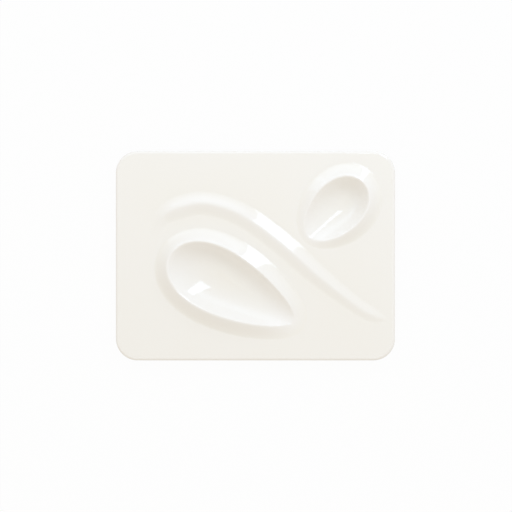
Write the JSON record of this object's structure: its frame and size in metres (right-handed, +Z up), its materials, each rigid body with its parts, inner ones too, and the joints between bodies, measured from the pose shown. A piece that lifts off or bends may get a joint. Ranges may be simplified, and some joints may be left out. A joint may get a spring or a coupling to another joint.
{
  "type": "divided rectangular plate",
  "caption": "Rectangular serving plate with rounded corners in ivory glazed porcelain, its flat deck divided by a raised leaf-shaped bowl, a small oval bowl and a curved ridge.",
  "frame": {"origin": "middle of the plate, on the table that the foot ring stands on", "axes": "+X along the plate's length, +Y across it towards the side that is up in the picture, +Z up"},
  "size_m": [0.32, 0.24, 0.024],
  "materials": {
    "biscuit": "unglazed vitrified porcelain, matt and finely grained, bare on the standing face of the foot ring",
    "ivory_glaze": "glossy ivory glaze"
  },
  "bodies": {
    "root": {"porcelain_body": "biscuit", "upper_glaze": "ivory_glaze", "underside_glaze": "ivory_glaze"}
  },
  "joints": []
}
